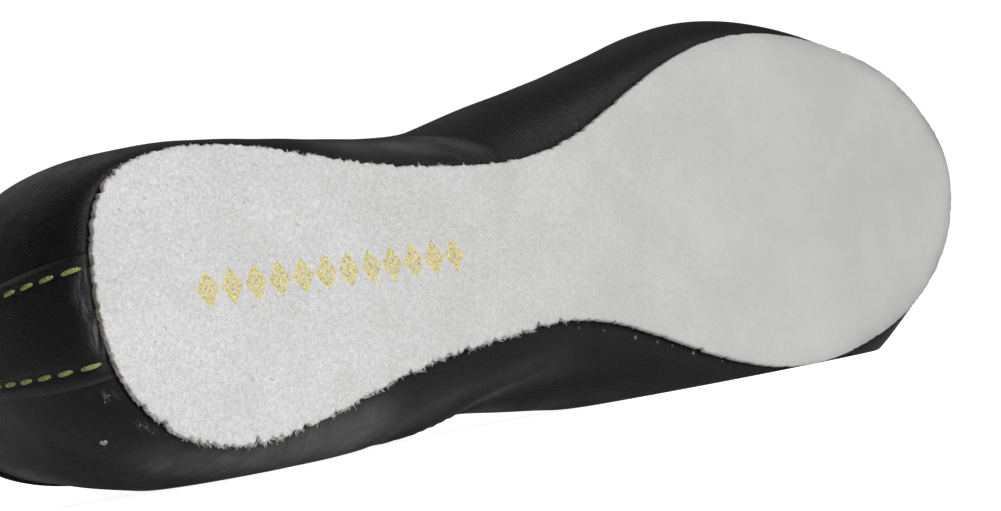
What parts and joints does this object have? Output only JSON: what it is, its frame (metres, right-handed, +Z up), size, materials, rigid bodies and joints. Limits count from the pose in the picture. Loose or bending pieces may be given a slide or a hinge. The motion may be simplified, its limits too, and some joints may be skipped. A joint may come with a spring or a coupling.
{
  "type": "ghillie dance shoe",
  "caption": "Soft black leather ghillie dance shoe with a full grey suede sole, an open laced throat with leather loops and a stitched back strip, lying on its side.",
  "frame": {"origin": "on the floor, under the middle of the shoe's box as it lies on its medial side", "axes": "+X from heel to toe, +Y from the sole to the collar, +Z up from the medial side to the lateral side"},
  "size_m": [0.2528, 0.0606, 0.0789],
  "materials": {
    "sole_suede": "grey brushed suede with a rough cut edge",
    "upper_leather": "soft black leather with a fine grain and a low sheen",
    "loop_leather": "soft black leather, cut edge",
    "insole_lining": "pale cotton lining"
  },
  "bodies": {
    "root": {"outsole": "sole_suede", "upper": "upper_leather", "insole": "insole_lining", "back_strip": "upper_leather", "lace_loop_medial_1": "loop_leather", "lace_loop_medial_2": "loop_leather", "lace_loop_medial_3": "loop_leather", "lace_loop_medial_4": "loop_leather", "lace_loop_lateral_1": "loop_leather", "lace_loop_lateral_2": "loop_leather", "lace_loop_lateral_3": "loop_leather", "lace_loop_lateral_4": "loop_leather"}
  },
  "joints": []
}
